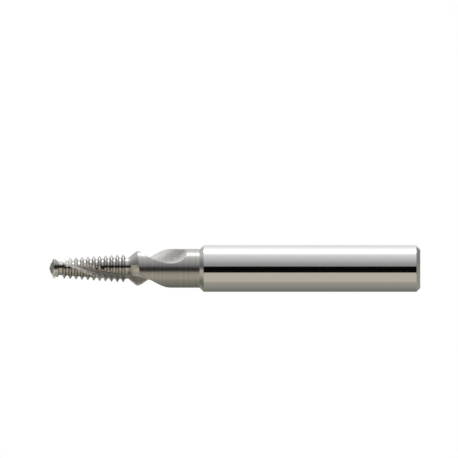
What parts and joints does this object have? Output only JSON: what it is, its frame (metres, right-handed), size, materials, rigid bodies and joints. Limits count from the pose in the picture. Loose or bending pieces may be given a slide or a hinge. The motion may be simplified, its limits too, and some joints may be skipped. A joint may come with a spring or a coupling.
{
  "type": "thread mill",
  "caption": "Solid carbide drill thread mill: a helically fluted rod with a drill point, relieved ring teeth and a countersink step that drills, chamfers and mills an internal thread.",
  "frame": {"origin": "centre of the flat face at the shank end", "axes": "+Z along the tool's axis from the shank end to the drill point; the first cutting edge stands 41.8 degrees clockwise of +X at the shank end's height and turns 11.5 degrees per mm of height"},
  "size_m": [0.008, 0.008, 0.063],
  "materials": {
    "carbide": "ground and partly polished bare carbide"
  },
  "bodies": {
    "root": {"thread_mill": "carbide"}
  },
  "joints": []
}
